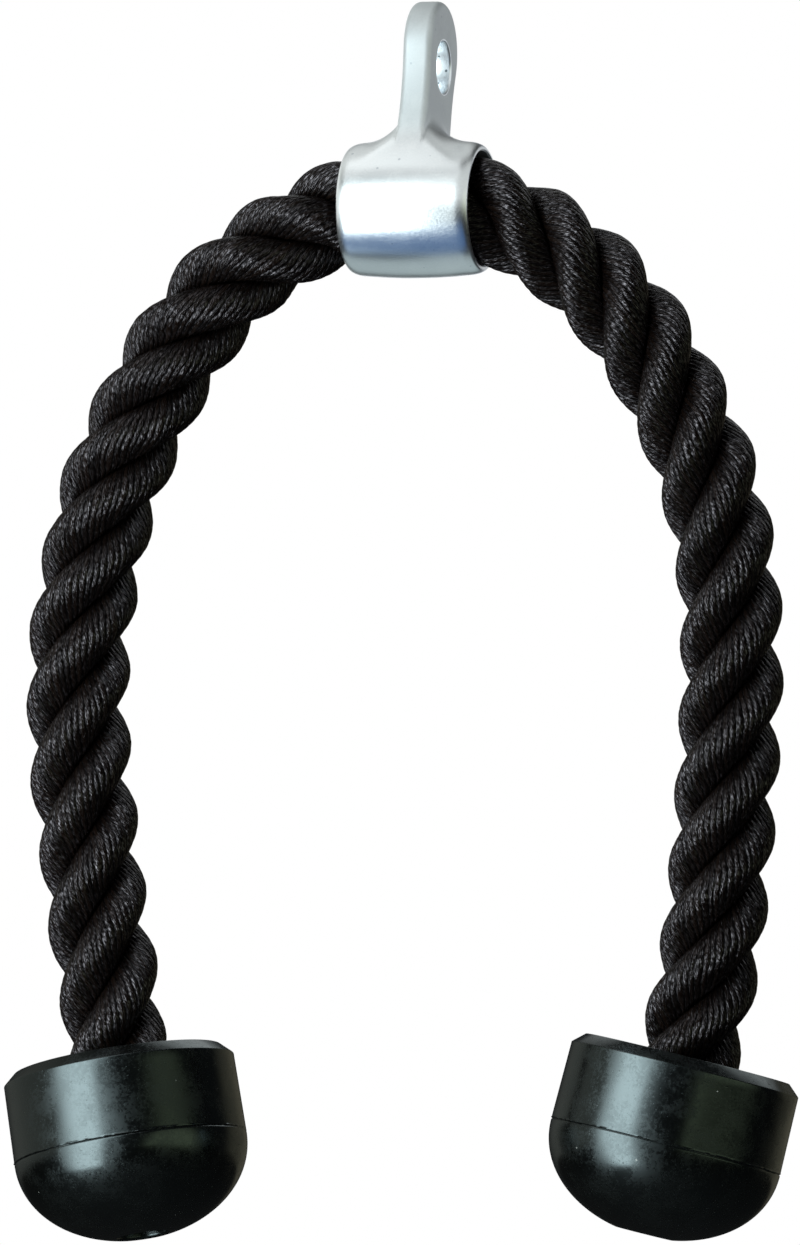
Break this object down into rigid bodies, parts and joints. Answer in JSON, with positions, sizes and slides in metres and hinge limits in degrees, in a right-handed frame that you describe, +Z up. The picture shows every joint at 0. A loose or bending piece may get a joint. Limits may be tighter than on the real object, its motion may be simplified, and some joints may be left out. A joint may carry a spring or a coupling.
{
  "type": "triceps rope",
  "caption": "Thick laid rope hung over a cast collar with an eye, with a domed rubber stopper on each end, for pulling down against a cable machine.",
  "frame": {"origin": "centre of the eye's hole, where the rope is hung from a snap link", "axes": "+X along the eye's hole and the collar's bore toward the right leg, +Z up, and the rope lies in a plane square to Y"},
  "size_m": [0.2236, 0.065, 0.3426],
  "materials": {
    "cast_metal": "satin, fine cast speckle",
    "rope_fibre": "black laid fibre rope with a slight gloss",
    "rubber": "semi-gloss moulded black rubber",
    "zinc_plate": "zinc plate",
    "dark_steel": "oiled dark steel"
  },
  "bodies": {
    "collar": {"collar_and_eye": "cast_metal"},
    "rope_crown": {"crown_strand_1": "rope_fibre", "crown_strand_2": "rope_fibre", "crown_strand_3": "rope_fibre", "left_shoulder_strand_1": "rope_fibre", "left_shoulder_strand_2": "rope_fibre", "left_shoulder_strand_3": "rope_fibre", "right_shoulder_strand_1": "rope_fibre", "right_shoulder_strand_2": "rope_fibre", "right_shoulder_strand_3": "rope_fibre"},
    "left_leg": {"left_leg_strand_1": "rope_fibre", "left_leg_strand_2": "rope_fibre", "left_leg_strand_3": "rope_fibre", "left_stopper": "rubber", "left_ferrule": "zinc_plate", "left_washer": "zinc_plate", "left_lag_screw": "dark_steel"},
    "right_leg": {"right_leg_strand_1": "rope_fibre", "right_leg_strand_2": "rope_fibre", "right_leg_strand_3": "rope_fibre", "right_stopper": "rubber", "right_ferrule": "zinc_plate", "right_washer": "zinc_plate", "right_lag_screw": "dark_steel"}
  },
  "joints": [
    {"name": "collar_swivel", "type": "hinge", "parent": "collar", "child": "rope_crown", "pos_m": [0, -0.00852, -0.0401], "axis": [1, 0, 0], "continuous": true},
    {"name": "left_leg_flex", "type": "hinge", "parent": "rope_crown", "child": "left_leg", "pos_m": [-0.05112, -0.00852, -0.05785], "axis": [0, 1, 0], "range_deg": [-9.5, 40], "stiffness_Nm_per_rad": 0.8, "springref_deg": 3.71, "deforming": ["left_shoulder_strand_1", "left_shoulder_strand_2", "left_shoulder_strand_3"]},
    {"name": "right_leg_flex", "type": "hinge", "parent": "rope_crown", "child": "right_leg", "pos_m": [0.05027, -0.00852, -0.05985], "axis": [0, -1, 0], "range_deg": [-9.5, 40], "stiffness_Nm_per_rad": 0.8, "springref_deg": 3.9, "deforming": ["right_shoulder_strand_1", "right_shoulder_strand_2", "right_shoulder_strand_3"]}
  ]
}
